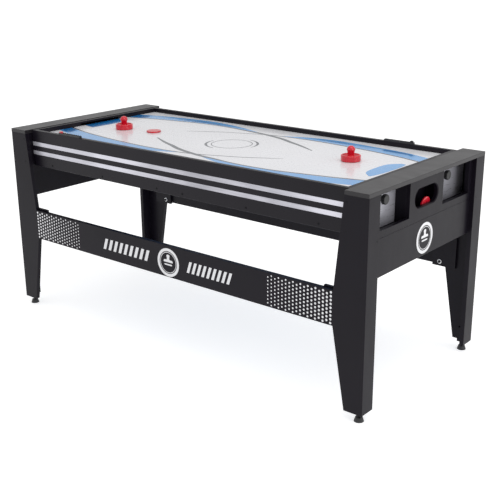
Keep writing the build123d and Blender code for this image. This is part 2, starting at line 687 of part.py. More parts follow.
# ---- blower, inlet and switch ----
def make_blower():
    y0 = Y_BOX_IN - FAN_DEEP
    half = FAN_SIZE / 2
    frame = block(FAN_X - half, FAN_X + half, y0, Y_BOX_IN, Z_FAN - half, Z_FAN + half)
    frame = fillet(frame.edges().filter_by(Axis.Y), FAN_ROUND)
    frame -= rod_y(y0, Y_BOX_IN, FAN_X, Z_FAN, FAN_DUCT_R)
    hub = rod_y(y0, y0 + FAN_HUB_T, FAN_X, Z_FAN, FAN_HUB_R)
    w = FAN_STRUT_W / 2
    strut = block(0, (FAN_DUCT_R + half) / 2, y0, y0 + FAN_HUB_T / 2, -w, w)
    for k in range(FAN_STRUTS):
        turn = 360 * (k + 0.25) / FAN_STRUTS
        hub += Pos(FAN_X, 0, Z_FAN) * Rot(0, turn, 0) * strut
    frame += hub
    frame -= rod_y(y0, y0 + FAN_HUB_T, FAN_X, Z_FAN, FAN_SHAFT_R + RUN_CLEAR)
    nodes["blower_housing"] = frame

    blade_y0 = y0 + FAN_HUB_T + FAN_RUN_GAP
    blade_y1 = Y_BOX_IN - BLADE_BACK
    wheel = rod_y(blade_y0, blade_y1, FAN_X, Z_FAN, FAN_HUB_R)
    tip = FAN_DUCT_R - FAN_TIP_GAP - BLADE_TIP_BACK
    chord = (blade_y1 - blade_y0) * BLADE_CHORD
    start = FAN_HUB_R - BLADE_ROOT
    for k in range(FAN_BLADES):
        vane = Pos((start + tip) / 2, 0, 0) * Box(tip - start, chord, FAN_BLADE_T)
        vane = Rot(BLADE_PITCH, 0, 0) * vane
        turned = Rot(0, 360 * k / FAN_BLADES, 0) * vane
        wheel += Pos(FAN_X, (blade_y0 + blade_y1) / 2, Z_FAN) * turned
    wheel += rod_y(y0, blade_y0, FAN_X, Z_FAN, FAN_SHAFT_R)
    nodes["blower_wheel"] = wheel


def make_service_plate():
    left, right = plate_span()
    half = FAN_SIZE / 2 + PLATE_MARGIN
    plate = block(left, right, Y_BOX, Y_BOX + PLATE_T, Z_FAN - half, Z_FAN + half)
    plate = fillet(plate.edges().filter_by(Axis.Y), PLATE_ROUND)
    reach = FAN_DUCT_R - GRILLE_EDGE
    for k in range(GRILLE_SLOTS):
        z = (k - (GRILLE_SLOTS - 1) / 2) * GRILLE_PITCH
        chord = math.sqrt(reach**2 - z**2)
        for side in (-1, 1):
            ends = sorted([side * GRILLE_EDGE, side * chord])
            slot = block(ends[0], ends[1], Y_BOX, Y_BOX + PLATE_T, -GRILLE_SLOT_H / 2, GRILLE_SLOT_H / 2)
            plate -= Pos(FAN_X, 0, Z_FAN + z) * slot
    plate -= rod_y(Y_BOX, Y_BOX + PLATE_T, X_INLET, Z_FAN, INLET_R)
    x = X_SWITCH
    w, h = SWITCH_W / 2, SWITCH_H / 2
    y_well = Y_BOX - SWITCH_DEEP
    t = SWITCH_WALL
    plate += block(x - w - t, x + w + t, y_well, Y_BOX, Z_FAN - h - t, Z_FAN + h + t)
    plate -= block(x - w, x + w, y_well + t, Y_BOX + PLATE_T, Z_FAN - h, Z_FAN + h)
    nodes["service_plate"] = plate

    y_out = Y_BOX + PLATE_T
    jack = rod_y(y_out - INLET_DEEP, y_out, X_INLET, Z_FAN, INLET_R)
    jack += rod_y(y_out, y_out + INLET_FLANGE_T, X_INLET, Z_FAN, INLET_FLANGE_R)
    y_bore = y_out - INLET_BORE_DEEP
    jack -= rod_y(y_bore, y_out + INLET_FLANGE_T, X_INLET, Z_FAN, INLET_BORE_R)
    jack += rod_y(y_bore, y_out - INLET_PIN_BACK, X_INLET, Z_FAN, INLET_PIN_R)
    nodes["power_inlet"] = jack

    wide, tall = SWITCH_W - 2 * ROCKER_GAP, SWITCH_H - 4 * ROCKER_GAP
    rocker = Box(wide, ROCKER_T, tall)
    rocker = fillet(rocker.edges().filter_by(Axis.X), ROCKER_ROUND)
    nodes["switch_rocker"] = Pos(x, Y_BOX, Z_FAN) * Rot(-ROCKER_TILT, 0, 0) * rocker


# ---- scorers, mallets and pucks ----
def score_track():
    """A pegged track about the origin, pegs towards +Y, and its marker at the left end."""
    half, w = SCORER_L / 2, SCORER_W / 2
    track = block(-half, half, -w, w, 0, SCORER_H)
    track = fillet(track.edges().filter_by(Axis.Z), SCORER_ROUND)
    groove_w = w - SCORER_LIP
    groove_z = SCORER_H - SCORER_GROOVE
    end = half - SCORER_LIP - MARKER_END
    track -= block(-end, end, -groove_w, groove_w, groove_z, SCORER_H)
    for k in range(SCORER_PEGS):
        x = (k / (SCORER_PEGS - 1) - 0.5) * (SCORER_L - 2 * PEG_INSET)
        track += rod_z(SCORER_H, SCORER_H + PEG_H, x, w - SCORER_LIP / 2, PEG_R)
    w_marker = groove_w - GAP
    x = MARKER_END - end
    marker = block(x, x + MARKER_L, -w_marker, w_marker, groove_z + GAP, groove_z + MARKER_H)
    marker = fillet(marker.edges().filter_by(Axis.Y).group_by(Axis.Z)[-1], MARKER_ROUND)
    return track, marker


def make_scorers():
    track, marker = score_track()
    y = (Y_BOX + Y_BOX_IN) / 2
    front = Pos(SCORER_X_FRONT, -y, Z_BOX_TOP)
    back = Pos(SCORER_X_BACK, y, Z_BOX_TOP) * Rot(0, 0, 180)
    group("scorer_tracks", [front * track, back * track])
    nodes["score_marker_front"] = front * marker
    nodes["score_marker_back"] = back * marker


def mallet_shape():
    """A mallet about Z, standing on z = 0: a dished bumper with a knob."""
    rim_z, dish_z, neck_z, bulb_z = 23.0, 13.0, 24.0, 42.0
    neck_r, bulb_r = 12.0, 16.0
    foot_r = neck_r + 6
    lip_z, lip_in = rim_z - 4, MALLET_R - 7
    crown = 1.0
    lines = [
        Line((0, 0), (MALLET_R - 2, 0)),
        Line((MALLET_R - 2, 0), (MALLET_R, 2)),
        Line((MALLET_R, 2), (MALLET_R, lip_z)),
        ThreePointArc((MALLET_R, lip_z), (MALLET_R - 3.5, rim_z), (lip_in, lip_z)),
        Line((lip_in, lip_z), (foot_r, dish_z)),
        ThreePointArc((foot_r, dish_z), (neck_r + 1.5, dish_z + 3.5), (neck_r, neck_z)),
        ThreePointArc((neck_r, neck_z), (neck_r + 1.2, neck_z + 8), (bulb_r, bulb_z)),
        ThreePointArc((bulb_r, bulb_z), (bulb_r * 0.72, MALLET_H - 4.4), (crown, MALLET_H)),
        Line((crown, MALLET_H), (0, MALLET_H)),
        Line((0, MALLET_H), (0, 0)),
    ]
    return revolve(Face(Plane.XZ * Wire(lines)), Axis.Z)


def make_mallets():
    shape = mallet_shape()
    for name, (x, y) in (("mallet_left", MALLET_LEFT), ("mallet_right", MALLET_RIGHT)):
        nodes[name] = Pos(x, y, Z_FIELD + GAP) * shape


def make_pucks():
    disc = Cylinder(PUCK_R, PUCK_T)
    disc = chamfer(disc.edges().filter_by(GeomType.CIRCLE), PUCK_EDGE)
    x, y = PUCK_AT
    nodes["puck"] = Pos(x, y, Z_FIELD + GAP + PUCK_T / 2) * disc
    lean = math.radians(SPARE_PUCK_LEAN)
    half_x = PUCK_R * math.sin(lean) + PUCK_T / 2 * math.cos(lean)
    half_z = PUCK_R * math.cos(lean) + PUCK_T / 2 * math.sin(lean)
    middle = Pos(X_PANEL_IN - GAP - half_x, SPARE_PUCK_Y, Z_PAD + GAP + half_z)
    nodes["spare_puck"] = middle * Rot(0, 90 + SPARE_PUCK_LEAN, 0) * disc


def build():
    make_legs()
    make_leg_screws()
    make_top_boards()
    make_stretchers()
    make_feet()
    make_window_panels()
    make_aprons()
    make_inner_panels()
    make_shelves()
    make_pivots()
    make_locks()
    make_box_sides()
    make_box_ends()
    make_fields()
    make_cushions()
    make_inner_frame()
    make_stripes()
    make_blower()
    make_service_plate()
    make_scorers()
    make_mallets()
    make_pucks()


build()
os.makedirs("parts", exist_ok=True)
for node, shape in nodes.items():
    export_step(shape, "parts/" + node + ".step")
print(len(nodes), "nodes")
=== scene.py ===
import json
import math

import bmesh
import bpy
from mathutils import Matrix, Vector


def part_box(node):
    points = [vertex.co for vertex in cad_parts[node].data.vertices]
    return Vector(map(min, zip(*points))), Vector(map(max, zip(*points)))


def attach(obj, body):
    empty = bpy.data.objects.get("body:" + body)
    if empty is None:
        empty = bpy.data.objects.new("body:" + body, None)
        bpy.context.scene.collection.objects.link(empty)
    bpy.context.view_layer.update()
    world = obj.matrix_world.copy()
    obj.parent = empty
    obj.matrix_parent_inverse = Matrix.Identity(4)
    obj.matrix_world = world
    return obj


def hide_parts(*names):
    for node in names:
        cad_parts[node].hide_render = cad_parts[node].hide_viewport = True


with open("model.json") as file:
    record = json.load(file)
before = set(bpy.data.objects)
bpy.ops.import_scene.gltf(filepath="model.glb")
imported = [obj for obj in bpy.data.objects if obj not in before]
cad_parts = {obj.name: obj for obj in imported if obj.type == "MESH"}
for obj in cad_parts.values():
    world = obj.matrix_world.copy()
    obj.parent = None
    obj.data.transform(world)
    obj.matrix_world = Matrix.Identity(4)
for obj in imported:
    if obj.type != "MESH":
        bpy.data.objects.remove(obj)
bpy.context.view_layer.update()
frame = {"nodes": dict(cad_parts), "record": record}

NODES = frame["nodes"]

# The looks of a rotating air hockey table: an air hockey field in a box that
# turns between two end frames. Metres, +Z up, +X along the table, -Y is the front.

# ---- camera ----
CAM_AZIMUTH = 39.64
CAM_ELEVATION = 18.38
CAM_ROLL = -0.40
CAM_DISTANCE = 3.739
CAM_AIM = (0.0923, 0.0, 0.3559)
CAM_LENS = 64.69

# ---- light ----
WORLD_LIGHT = 0.74
FLOOR_GLOW = 0.62

# ---- colours, linear ----
DEEP_BLUE = (0.006, 0.15, 0.42)
LIGHT_BLUE = (0.10, 0.34, 0.70)
INK_GREY = (0.050, 0.060, 0.080)
INK_WHITE = (0.72, 0.72, 0.74)
FIELD_WHITE = (0.76, 0.76, 0.79)
RED = (0.62, 0.003, 0.020)
BLACK_BOARD = (0.0062, 0.0048, 0.0085)
# painted light: the top boards' colour is the black board made lighter, for the light their tops catch
LIT_TOP_BOARD = (0.013, 0.0115, 0.014)
SILVER_FILM = (0.50, 0.495, 0.55)

# ---- print on the field and the boards ----
PRINT_LIFT = 0.00015       # printed film above its board
PRINT_STEP = 0.000015      # one layer of the field's print above the last, all of it under the mallets
PRINT_MARGIN = 0.0005      # field's print to the edge of the field
HOLE_PITCH = 0.0254        # air holes in the field
HOLE_R = 0.0009
DOT_PITCH_X = 0.0158       # dots on the stretcher
DOT_PITCH_Z = 0.0139
DOT_COLUMNS = 18
DOT_MARGIN = 0.0085
DOT_R_BIG = 0.0045
DOT_R_SMALL = 0.0028
DOT_ROWS = 9               # in every other column, one fewer in those between
DOT_SIDES = 16
BADGE_R = 0.0575
BADGE_U = 0.018            # badge of a stretcher, off its middle
BADGE_DROP = 0.004         # badge under the middle line of its board
BAR_SPANS = ((-0.355, -0.085), (0.115, 0.340))
BAR_COUNT = 9
BAR_H = 0.046
BAR_SHARE = 0.52           # of the pitch of the bars that is white
BAR_LEAN = 0.35            # of a bar's height
EMBLEM_RING = (0.0820, 0.0855)    # radii of the centre circle
EMBLEM_R = 0.106           # brackets round the centre circle
EMBLEM_FACING = 41.0       # middle of a bracket round the centre circle, degrees
EMBLEM_STEP = 15.0         # between two points of a bracket, degrees
FILM_INSET = 0.002         # silver film to the edges of its panel

# ---- cushions round the pool bed ----
CUSHIONS = 6
NOSE_ROUND = 0.003         # radius of the edges under the cloth
NOSE_STEPS = 4
FLAT_ANGLE = math.radians(1.0)     # triangles that bend less are one face
EDGE_ANGLE = math.radians(20.0)    # edges that bend more are rounded
WELD = 1e-6                # corners nearer than this are one

# ---- floor ----
FLOOR_REACH = 30.0


# ======================================================================
# small helpers
# ======================================================================
def link(name, mesh, material, body):
    """A new piece that rides on a body."""
    obj = bpy.data.objects.new(name, mesh)
    bpy.context.scene.collection.objects.link(obj)
    obj.data.materials.append(material)
    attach(obj, body)
    return obj


def mesh_from(name, points, faces):
    mesh = bpy.data.meshes.new(name)
    mesh.from_pydata(points, [], faces)
    mesh.update()
    return mesh


def shade_cad(obj, angle=30.0):
    """Smooth shading, split at sharp edges by a modifier."""
    for polygon in obj.data.polygons:
        polygon.use_smooth = True
    split = obj.modifiers.new("sharp_edges", "EDGE_SPLIT")
    split.split_angle = math.radians(angle)


# ======================================================================
# materials
# ======================================================================
class Paint:
    """A node material, built up by named steps."""

    def __init__(self, name, colour, roughness=0.4, metallic=0.0, specular=0.5, coat=0.0,
                 coat_roughness=0.1):
        self.material = bpy.data.materials.new(name)
        self.material.use_nodes = True
        self.tree = self.material.node_tree
        self.shader = self.tree.nodes["Principled BSDF"]
        self.shader.inputs["Base Color"].default_value = (*colour, 1.0)
        self.shader.inputs["Roughness"].default_value = roughness
        self.shader.inputs["Metallic"].default_value = metallic
        self.shader.inputs["Specular IOR Level"].default_value = specular
        self.shader.inputs["Coat Weight"].default_value = coat
        self.shader.inputs["Coat Roughness"].default_value = coat_roughness
        self.colour = colour
        self.where = self.add("ShaderNodeTexCoord").outputs["Object"]

    def add(self, kind, **settings):
        node = self.tree.nodes.new(kind)
        for key, value in settings.items():
            setattr(node, key, value)
        return node

    def wire(self, out, into):
        self.tree.links.new(out, into)

    def mapped(self, scale):
        mapping = self.add("ShaderNodeMapping")
        mapping.inputs["Scale"].default_value = scale
        self.wire(self.where, mapping.inputs["Vector"])
        return mapping.outputs["Vector"]

    def noise(self, scale, detail=4.0, stretch=(1.0, 1.0, 1.0), roughness=0.55):
        node = self.add("ShaderNodeTexNoise")
        node.inputs["Scale"].default_value = scale
        node.inputs["Detail"].default_value = detail
        node.inputs["Roughness"].default_value = roughness
        self.wire(self.mapped(stretch), node.inputs["Vector"])
        return node.outputs["Fac"]

    def spread(self, value, low, high, start=0.3, end=0.7):
        node = self.add("ShaderNodeMapRange")
        node.inputs["From Min"].default_value = start
        node.inputs["From Max"].default_value = end
        node.inputs["To Min"].default_value = low
        node.inputs["To Max"].default_value = high
        self.wire(value, node.inputs["Value"])
        return node.outputs["Result"]

    def math(self, operation, first, second=None):
        node = self.add("ShaderNodeMath", operation=operation)
        for socket, value in zip(node.inputs, (first, second)):
            if value is None:
                continue
            if isinstance(value, (int, float)):
                socket.default_value = value
            else:
                self.wire(value, socket)
        return node.outputs["Value"]

    def mix(self, factor, first, second):
        node = self.add("ShaderNodeMix", data_type="RGBA")
        self.wire(factor, node.inputs["Factor"])
        for socket, value in ((node.inputs[6], first), (node.inputs[7], second)):
            if isinstance(value, tuple):
                socket.default_value = (*value, 1.0)
            else:
                self.wire(value, socket)
        return node.outputs[2]

    def tint(self, factor, low, high):
        """Base colour between two shares of the paint's own colour."""
        first = tuple(c * low for c in self.colour)
        second = tuple(min(1.0, c * high) for c in self.colour)
        return self.mix(factor, first, second)

    def base(self, out):
        self.wire(out, self.shader.inputs["Base Color"])
        return self

    def rough(self, out):
        self.wire(out, self.shader.inputs["Roughness"])
        return self

    def bump(self, height, distance, strength=1.0):
        node = self.add("ShaderNodeBump")
        node.inputs["Distance"].default_value = distance
        node.inputs["Strength"].default_value = strength
        self.wire(height, node.inputs["Height"])
        self.wire(node.outputs["Normal"], self.shader.inputs["Normal"])
        return self

    def edge_wear(self, base, colour, amount=0.5, reach=0.0016):
        """The same base, with a paler film along sharp edges."""
        bevel = self.add("ShaderNodeBevel", samples=4)
        bevel.inputs["Radius"].default_value = reach
        geometry = self.add("ShaderNodeNewGeometry")
        dot = self.add("ShaderNodeVectorMath", operation="DOT_PRODUCT")
        self.wire(bevel.outputs["Normal"], dot.inputs[0])
        self.wire(geometry.outputs["True Normal"], dot.inputs[1])
        edge = self.spread(dot.outputs["Value"], amount, 0.0, 0.80, 0.995)
        patchy = self.math("MULTIPLY", edge, self.spread(self.noise(45.0), 0.3, 1.0))
        return self.mix(patchy, base, colour)


def laminate(name, colour, roughness, specular, along=(1.0, 1.0, 1.0), wear=(0.055, 0.053, 0.058)):
    """Film-covered board: faint pores, slow mottling, handled edges."""
    paint = Paint(name, colour, roughness, specular=specular)
    mottle = paint.noise(3.0, 3.0)
    pores = paint.noise(900.0, 3.0, along)
    tone = paint.math("ADD", paint.math("MULTIPLY", mottle, 0.6), paint.math("MULTIPLY", pores, 0.4))
    body = paint.tint(paint.spread(tone, 0.0, 1.0, 0.36, 0.62), 0.88, 1.14)
    paint.base(paint.edge_wear(body, wear))
    smear = paint.noise(9.0, 5.0, (1.0, 2.0, 1.0))
    paint.rough(paint.spread(smear, roughness - 0.03, roughness + 0.04))
    paint.bump(pores, 0.00004, 0.35)
    return paint.material


def silver_film_painted_sheen(name, along, low, high):
    """Metallised film on a board, brushed along it; the soft clouds in its base colour are painted sheen,
    lighter and darker patches of reflection.
    """
    paint = Paint(name, SILVER_FILM, 0.32, metallic=0.45, specular=0.5)
    brushed = paint.noise(300.0, 3.0, along)
    # painted reflection: broad clouds of lighter and darker colour stand in for the film's sheen
    cloud = paint.noise(2.4, 3.0)
    tone = paint.math("ADD", paint.math("MULTIPLY", brushed, 0.25), paint.math("MULTIPLY", cloud, 0.75))
    paint.base(paint.tint(paint.spread(tone, 0.0, 1.0, 0.38, 0.60), low, high))
    paint.rough(paint.spread(brushed, 0.26, 0.40))
    paint.bump(brushed, 0.00004, 0.4)
    return paint.material


def field_coat():
    """Glossy white board with a grid of air holes painted dark grey as the shade inside them, and fine
    rubbed scratches.
    """
    paint = Paint("field_coat", FIELD_WHITE, 0.24, specular=0.45, coat=0.15, coat_roughness=0.06)
    apart = paint.add("ShaderNodeSeparateXYZ")
    paint.wire(paint.where, apart.inputs["Vector"])
    squares = []
    for axis in ("X", "Y"):
        turns = paint.math("FRACT", paint.math("DIVIDE", apart.outputs[axis], HOLE_PITCH))
        off = paint.math("MULTIPLY", paint.math("SUBTRACT", turns, 0.5), HOLE_PITCH)
        squares.append(paint.math("MULTIPLY", off, off))
    away = paint.math("SQRT", paint.math("ADD", *squares))
    hole_shade_mask = paint.spread(away, 1.0, 0.0, HOLE_R * 0.8, HOLE_R * 1.15)
    cloud = paint.noise(3.0, 3.0)
    body = paint.tint(paint.spread(cloud, 0.0, 1.0), 0.97, 1.02)
    # painted shade: each air hole is coloured dark grey for the shade inside it
    paint.base(paint.mix(hole_shade_mask, body, (0.12, 0.12, 0.13)))
    rubbed = paint.noise(60.0, 6.0, (0.25, 1.0, 1.0))
    paint.rough(paint.spread(rubbed, 0.18, 0.30))
    deep = paint.math("SUBTRACT", 1.0, hole_shade_mask)
    paint.bump(deep, 0.0006, 0.8)
    return paint.material


def ink(name, colour, roughness=0.22, coat=0.3):
    """Print under the field's clear coat, a little uneven."""
    paint = Paint(name, colour, roughness, specular=0.5, coat=coat, coat_roughness=0.06)
    grain = paint.noise(700.0, 2.0)
    cloud = paint.noise(6.0, 3.0)
    tone = paint.math("ADD", paint.math("MULTIPLY", grain, 0.3), paint.math("MULTIPLY", cloud, 0.7))
    paint.base(paint.tint(paint.spread(tone, 0.0, 1.0), 0.92, 1.07))
    paint.rough(paint.spread(grain, roughness - 0.04, roughness + 0.06))
    return paint.material


def moulded(name, colour, roughness, texture=1400.0, depth=0.00003, coat=0.0):
    """Injection moulded plastic with a fine spark texture and handling marks."""
    paint = Paint(name, colour, roughness, specular=0.5, coat=coat, coat_roughness=0.08)
    fine = paint.noise(texture, 2.0)
    marks = paint.noise(35.0, 5.0, (1.0, 1.0, 0.4))
    paint.base(paint.tint(paint.spread(marks, 0.0, 1.0), 0.90, 1.08))
    paint.rough(paint.spread(marks, max(0.05, roughness - 0.07), roughness + 0.08))
    paint.bump(fine, depth, 0.6)
    return paint.material


def plated(name, colour, roughness, metallic=1.0):
    """Plated or blackened metal with turning marks and dull spots."""
    paint = Paint(name, colour, roughness, metallic=metallic)
    turned = paint.noise(500.0, 3.0, (1.0, 0.1, 1.0))
    spots = paint.noise(120.0, 5.0)
    paint.base(paint.tint(paint.spread(spots, 0.0, 1.0), 0.80, 1.10))
    paint.rough(paint.spread(turned, roughness - 0.08, roughness + 0.12))
    paint.bump(turned, 0.00003, 0.5)
    return paint.material


def woven_cloth(name, colour):
    """Napped table cloth: two crossed thread waves under a soft pile."""
    paint = Paint(name, colour, 0.95, specular=0.15)
    paint.shader.inputs["Sheen Weight"].default_value = 0.35
    paint.shader.inputs["Sheen Roughness"].default_value = 0.5
    waves = []
    for direction in ("X", "Y"):
        wave = paint.add("ShaderNodeTexWave", bands_direction=direction)
        wave.inputs["Scale"].default_value = 420.0
        wave.inputs["Distortion"].default_value = 0.8
        paint.wire(paint.where, wave.inputs["Vector"])
        waves.append(wave.outputs["Fac"])
    thread = paint.math("MULTIPLY", *waves)
    pile = paint.noise(900.0, 4.0)
    tone = paint.math("ADD", paint.math("MULTIPLY", thread, 0.4), paint.math("MULTIPLY", pile, 0.6))
    paint.base(paint.tint(paint.spread(tone, 0.0, 1.0, 0.2, 0.7), 0.75, 1.25))
    paint.bump(tone, 0.0002, 0.5)
    return paint.material


def bare_board(name, colour):
    """Pressed fibre board, uncoated."""
    paint = Paint(name, colour, 0.85, specular=0.25)
    fibre = paint.noise(340.0, 5.0, (1.0, 1.0, 3.0))
    flake = paint.noise(45.0, 3.0)
    tone = paint.math("ADD", paint.math("MULTIPLY", fibre, 0.7), paint.math("MULTIPLY", flake, 0.3))
    paint.base(paint.tint(paint.spread(tone, 0.0, 1.0), 0.70, 1.20))
    paint.bump(fibre, 0.0001, 0.5)
    return paint.material


def make_materials():
    return {
        "frame_board": laminate("frame_laminate", BLACK_BOARD, 0.38, 0.15, (1.0, 1.0, 0.25)),
        # the top boards are a lit copy of the frame laminate: lighter colour and paler edges, painted light
        "top_board": laminate("lit_top_laminate", LIT_TOP_BOARD, 0.34, 0.40, (1.0, 0.25, 1.0), (0.09, 0.085, 0.09)),
        "box_board": laminate("box_laminate", BLACK_BOARD, 0.36, 0.20, (0.25, 1.0, 1.0)),
        # both silver films carry painted sheen in their colour clouds, widest on the stripes
        "silver_panel": silver_film_painted_sheen("panel_film", (1.0, 0.06, 1.0), 0.80, 1.05),
        "felt": woven_cloth("felt_pad", (0.012, 0.012, 0.013)),
        "field": field_coat(),
        "raw_board": bare_board("fibre_board", (0.42, 0.30, 0.19)),
        "cloth": woven_cloth("table_cloth", (0.012, 0.11, 0.27)),
        # the cushion cloth is the bed cloth made about an eighth darker: painted shade on the cushions
        "cushion": woven_cloth("cushion_cloth_shaded", (0.010, 0.095, 0.24)),
        "stripe": silver_film_painted_sheen("stripe_film", (0.03, 1.0, 1.0), 0.72, 1.35),
        "steel": plated("blackened_steel", (0.018, 0.018, 0.020), 0.45),
        # zinc: partly the plating's own pale colour, partly painted highlight, near white and mostly
        # unmetallic so the washers show a glint under any light
        "zinc": plated("zinc_with_painted_glint", (0.90, 0.90, 0.92), 0.45, 0.35),
        "black_plastic": moulded("black_plastic", (0.018, 0.018, 0.020), 0.45),
        "knob_plastic": moulded("knob_plastic", (0.010, 0.010, 0.011), 0.42),
        "red_plastic": moulded("red_plastic", RED, 0.24, 900.0, 0.00002, 0.35),
    }


# ======================================================================
# flat print
# ======================================================================
def frame_on(name, side, face):
    """Where a flat print goes: maps (u, v) in metres onto a board's face."""
    low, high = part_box(name)
    if face == "top":
        z = high.z + PRINT_LIFT
        return lambda u, v: (u, v, z)
    if face == "y":
        y = (low.y - PRINT_LIFT) if side < 0 else (high.y + PRINT_LIFT)
        return lambda u, v: (-side * u, y, v)
    x = (low.x - PRINT_LIFT) if side < 0 else (high.x + PRINT_LIFT)
    return lambda u, v: (x, side * u, v)


def flat_piece(name, polygons, place, material, body):
    """Closed outlines as flat faces on a board; each polygon is a list of (u, v)."""
    points, faces = [], []
    for polygon in polygons:
        faces.append(list(range(len(points), len(points) + len(polygon))))
        points += [place(u, v) for u, v in polygon]
    return link(name, mesh_from(name, points, faces), material, body)


def between(before, first, second, after, share):
    """Catmull-Rom: the value a share of the way from the first to the second of four."""
    slope = second - before
    bend = 2 * before - 5 * first + 4 * second - after
    twist = 3 * first - before - 3 * second + after
    return first + 0.5 * (slope * share + bend * share**2 + twist * share**3)


def curve_through(points, steps=12):
    """Points along a smooth curve through the given ones."""
    ends = [points[0]] + list(points) + [points[-1]]
    out = []
    for four in zip(ends, ends[1:], ends[2:], ends[3:]):
        for k in range(steps):
            out.append(tuple(between(*values, k / steps) for values in zip(*four)))
    out.append(tuple(points[-1]))
    return out


def ribbon(points, half_widths, steps=12):
    """Quads of a band along a smooth line whose half width changes from point to point."""
    line = curve_through([(*p, w) for p, w in zip(points, half_widths)], steps)
    edges = []
    for k, (u, v, w) in enumerate(line):
        before, after = line[max(0, k - 1)], line[min(len(line) - 1, k + 1)]
        du, dv = after[0] - before[0], after[1] - before[1]
        size = math.hypot(du, dv) or 1.0
        edges.append(((u - dv / size * w, v + du / size * w), (u + dv / size * w, v - du / size * w)))
    return [[a[0], b[0], b[1], a[1]] for a, b in zip(edges, edges[1:])]


def ring(u0, v0, inner, outer, count=64):
    """Quads of a flat ring."""
    quads = []
    for k in range(count):
        a = 2 * math.pi * k / count
        b = 2 * math.pi * (k + 1) / count
        quads.append([
            (u0 + inner * math.cos(a), v0 + inner * math.sin(a)),
            (u0 + outer * math.cos(a), v0 + outer * math.sin(a)),
            (u0 + outer * math.cos(b), v0 + outer * math.sin(b)),
            (u0 + inner * math.cos(b), v0 + inner * math.sin(b)),
        ])
    return quads


def disc(u0, v0, radius, count):
    """One flat polygon with count corners on a circle."""
    turns = [2 * math.pi * k / count for k in range(count)]
    return [[(u0 + radius * math.cos(t), v0 + radius * math.sin(t)) for t in turns]]


def both_halves(polygons):
    """The print and its copy turned half a turn about the middle of the field."""
    return polygons + [[(-u, -v) for u, v in polygon] for polygon in polygons]


def strip_between(first, second, steps=12):
    """Quads between two smooth lines with the same number of points."""
    one, two = curve_through(first, steps), curve_through(second, steps)
    return [[a, b, d, c] for a, b, c, d in zip(one, one[1:], two, two[1:])]


